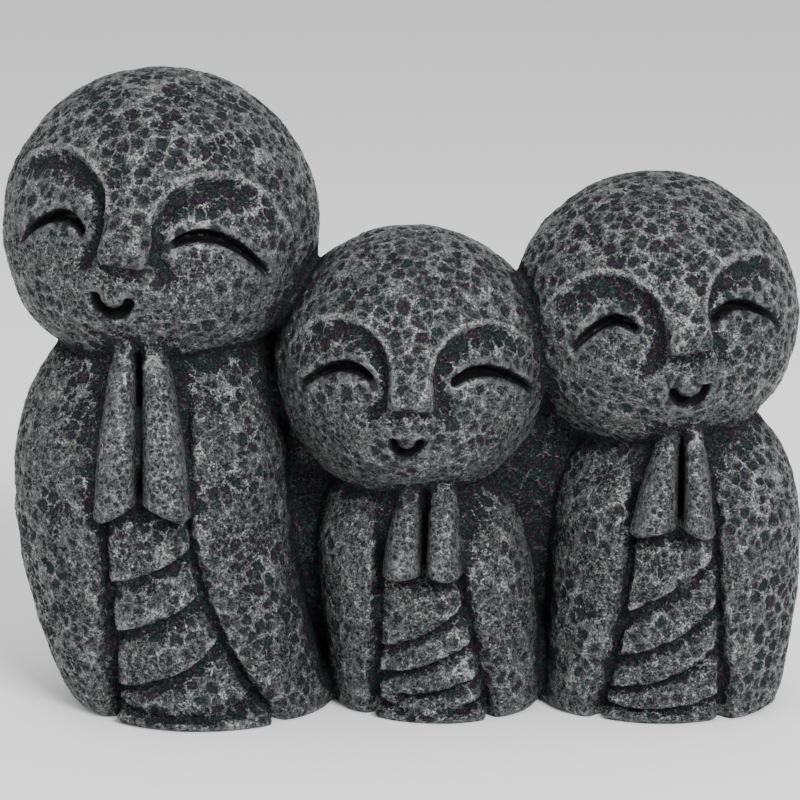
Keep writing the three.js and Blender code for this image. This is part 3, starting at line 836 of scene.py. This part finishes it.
# Dry-brushed pits: how much of the surface takes the silver, and the height of its ridges.
def pitGroup():
    tree = bpy.data.node_groups.new("dry-brushed pits", "ShaderNodeTree")
    tree.interface.new_socket("Vector", in_out="INPUT", socket_type="NodeSocketVector")
    for name in ("Cover", "Calm", "Coarse", "Edge"):
        tree.interface.new_socket(name, in_out="INPUT", socket_type="NodeSocketFloat")
    for name in ("Silver", "Crest", "Grain", "Height"):
        tree.interface.new_socket(name, in_out="OUTPUT", socket_type="NodeSocketFloat")
    given, made = addNode(tree, "NodeGroupInput"), addNode(tree, "NodeGroupOutput")
    vector, cover, calm, coarse, edge = given.outputs[:5]
    distance = ridgeDistance(tree, vector, coarse)

    # the net's edges broken by grain, and its cover uneven over the hand's width and over whole sides
    speck, patch, drift = [noiseOver(tree, vector, name) for name in ("speck", "patch", "drift")]
    broken = swayed(tree, distance, speck, lines["speck"])
    broken = swayed(tree, broken, patch, lines["patch"])
    drifted = swayed(tree, cover, drift, lines["drift"])
    drifted = mathNode(tree, "MULTIPLY", rampNode(tree, cover, *lines["start"]), drifted, clamp=True)
    powered = mathNode(tree, "POWER", drifted, lines["power"])
    limit = mathNode(tree, "MULTIPLY_ADD", powered, lines["width"], lines["offset"])
    low = mathNode(tree, "SUBTRACT", limit, lines["under"])
    high = mathNode(tree, "ADD", limit, lines["over"])
    silver = mathNode(tree, "SUBTRACT", 1, rampNode(tree, broken, low, high))
    crest = rampNode(tree, broken, *lines["crest"], 1, 0)
    crest = mathNode(tree, "MULTIPLY", crest, rampNode(tree, cover, *lines["crestCover"]))
    edge = rampNode(tree, swayed(tree, edge, speck, lines["edgeSpeck"]), *lines["edge"])
    crest = mathNode(tree, "MAXIMUM", crest, edge)
    silver = mathNode(tree, "MAXIMUM", silver, edge)
    height = rampNode(tree, distance, 0.0, pits["floorShare"], 1, 0)
    grainy = mathNode(tree, "MULTIPLY_ADD", speck, paint["grainHeight"] / paint["bump"], height)
    calmed = mathNode(tree, "MULTIPLY", grainy, mathNode(tree, "SUBTRACT", 1, calm))
    for value, socket in ((silver, "Silver"), (crest, "Crest"), (speck, "Grain"), (calmed, "Height")):
        tree.links.new(value, made.inputs[socket])
    return tree


def stoneMaterial():
    stone = bpy.data.materials.new("dry-brushed dark stone")
    stone.use_nodes = True
    tree = stone.node_tree
    shader = tree.nodes["Principled BSDF"]
    vector = addNode(tree, "ShaderNodeTexCoord").outputs["Object"]
    pitted = addNode(tree, "ShaderNodeGroup", node_tree=pitGroup())
    tree.links.new(vector, pitted.inputs["Vector"])
    attributes = {}
    for name in ("silver", "openness", "calm", "coarse", "edge"):
        attributes[name] = addNode(tree, "ShaderNodeAttribute", attribute_name=name).outputs["Fac"]
    for socket, name in (("Cover", "silver"), ("Calm", "calm"), ("Coarse", "coarse"), ("Edge", "edge")):
        tree.links.new(attributes[name], pitted.inputs[socket])
    grain, silver, isOpen = pitted.outputs["Grain"], pitted.outputs["Silver"], attributes["openness"]

    # the dark mix in the pits, tinted green and plum, with a little dust; painted shade darkens it in deep gaps
    # and slots
    hue = noiseOver(tree, vector, "tint")
    dark = mixColours(tree, rampNode(tree, hue, *blends["green"]), paint["base"], paint["green"])
    dark = mixColours(tree, rampNode(tree, hue, *blends["plum"]), dark, paint["plum"])
    dark = mixColours(tree, rampNode(tree, grain, *blends["dust"]), dark, paint["dust"])
    dark = mixColours(tree, rampNode(tree, isOpen, *blends["shadeBlack"]), paint["shadeBlack"], dark)

    # the silver, worn through in places and bright along the crests; painted shade dims it where the surface is
    # shut in
    light = mixColours(tree, rampNode(tree, grain, *blends["worn"]), paint["worn"], paint["silver"])
    light = mixColours(tree, pitted.outputs["Crest"], light, paint["bright"])
    shaded = mixColours(tree, blends["shadeShare"], light, paint["shadeBlack"])
    light = mixColours(tree, rampNode(tree, isOpen, *blends["shade"]), shaded, light)
    colour = mixColours(tree, silver, dark, light)

    # fine grain over both, but for the slots and rims
    level = rampNode(tree, noiseOver(tree, vector, "dots"), *blends["dots"], *blends["dotLevels"])
    colour = mixColours(tree, mathNode(tree, "SUBTRACT", 1, attributes["calm"]), colour, level, "MULTIPLY")
    tree.links.new(colour, shader.inputs["Base Color"])
    tree.links.new(rampNode(tree, silver, 0, 1, *paint["roughness"]), shader.inputs["Roughness"])
    tree.links.new(rampNode(tree, silver, 0, 1, *paint["metallic"]), shader.inputs["Metallic"])
    shader.inputs["Specular IOR Level"].default_value = paint["specular"]
    bump = addNode(tree, "ShaderNodeBump")
    bump.inputs["Distance"].default_value = paint["bump"] * mm
    bump.inputs["Strength"].default_value = 1
    tree.links.new(pitted.outputs["Height"], bump.inputs["Height"])
    tree.links.new(bump.outputs[0], shader.inputs["Normal"])
    return stone


trio.data.materials.clear()
trio.data.materials.append(stoneMaterial())
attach(trio, "root")
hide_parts("jizo_trio")
print("material made")


# Floor, light and camera.
studio = dict(
    floor=4.0, floorColour=(0.94, 0.94, 0.94, 1), floorRoughness=0.8,
    worldColour=(1, 1, 1, 1), worldStrength=0.85,
)
# each lamp: its place and the side of its square, in metres, then its power in watts
lamps = {
    "key": ((0.4, -0.9, 0.68), 0.4, 19),
    "fill": ((-0.9, -0.7, 0.5), 0.9, 3),
    "top": ((0.0, 0.1, 1.1), 0.8, 3),
}
shot = dict(distance=520, elevation=12, aim=(0, 0, 56.6), lens=122.67, sensor=36)


def makeFloor():
    half = studio["floor"] / 2
    mesh = bpy.data.meshes.new("floor")
    corners = [(-half, -half, 0), (half, -half, 0), (half, half, 0), (-half, half, 0)]
    mesh.from_pydata(corners, [], [(0, 1, 2, 3)])
    floor = bpy.data.objects.new("floor", mesh)
    bpy.context.scene.collection.objects.link(floor)
    finish = bpy.data.materials.new("pale floor")
    finish.use_nodes = True
    shader = finish.node_tree.nodes["Principled BSDF"]
    shader.inputs["Base Color"].default_value = studio["floorColour"]
    shader.inputs["Roughness"].default_value = studio["floorRoughness"]
    mesh.materials.append(finish)


def makeLights():
    middle = Vector((0, 0, shot["aim"][2] * mm))
    for name, (spot, side, power) in lamps.items():
        data = bpy.data.lights.new(name, "AREA")
        data.shape, data.size, data.energy = "SQUARE", side, power
        lamp = bpy.data.objects.new(name, data)
        lamp.location = spot
        lamp.rotation_euler = (middle - Vector(spot)).to_track_quat("-Z", "Y").to_euler()
        bpy.context.scene.collection.objects.link(lamp)
    world = bpy.data.worlds.new("pale room")
    world.use_nodes = True
    world.node_tree.nodes["Background"].inputs["Color"].default_value = studio["worldColour"]
    world.node_tree.nodes["Background"].inputs["Strength"].default_value = studio["worldStrength"]
    bpy.context.scene.world = world


def makeCamera():
    aim = (Vector(shot["aim"]) - rowMiddle) * mm
    tilt = math.radians(shot["elevation"])
    back = Vector((0, -math.cos(tilt), math.sin(tilt)))
    data = bpy.data.cameras.new("camera")
    data.lens, data.sensor_width = shot["lens"], shot["sensor"]
    camera = bpy.data.objects.new("camera", data)
    camera.location = aim + back * shot["distance"] * mm
    camera.rotation_euler = (-back).to_track_quat("-Z", "Y").to_euler()
    bpy.context.scene.collection.objects.link(camera)
    bpy.context.scene.camera = camera


makeFloor()
makeLights()
makeCamera()

print("scene made")
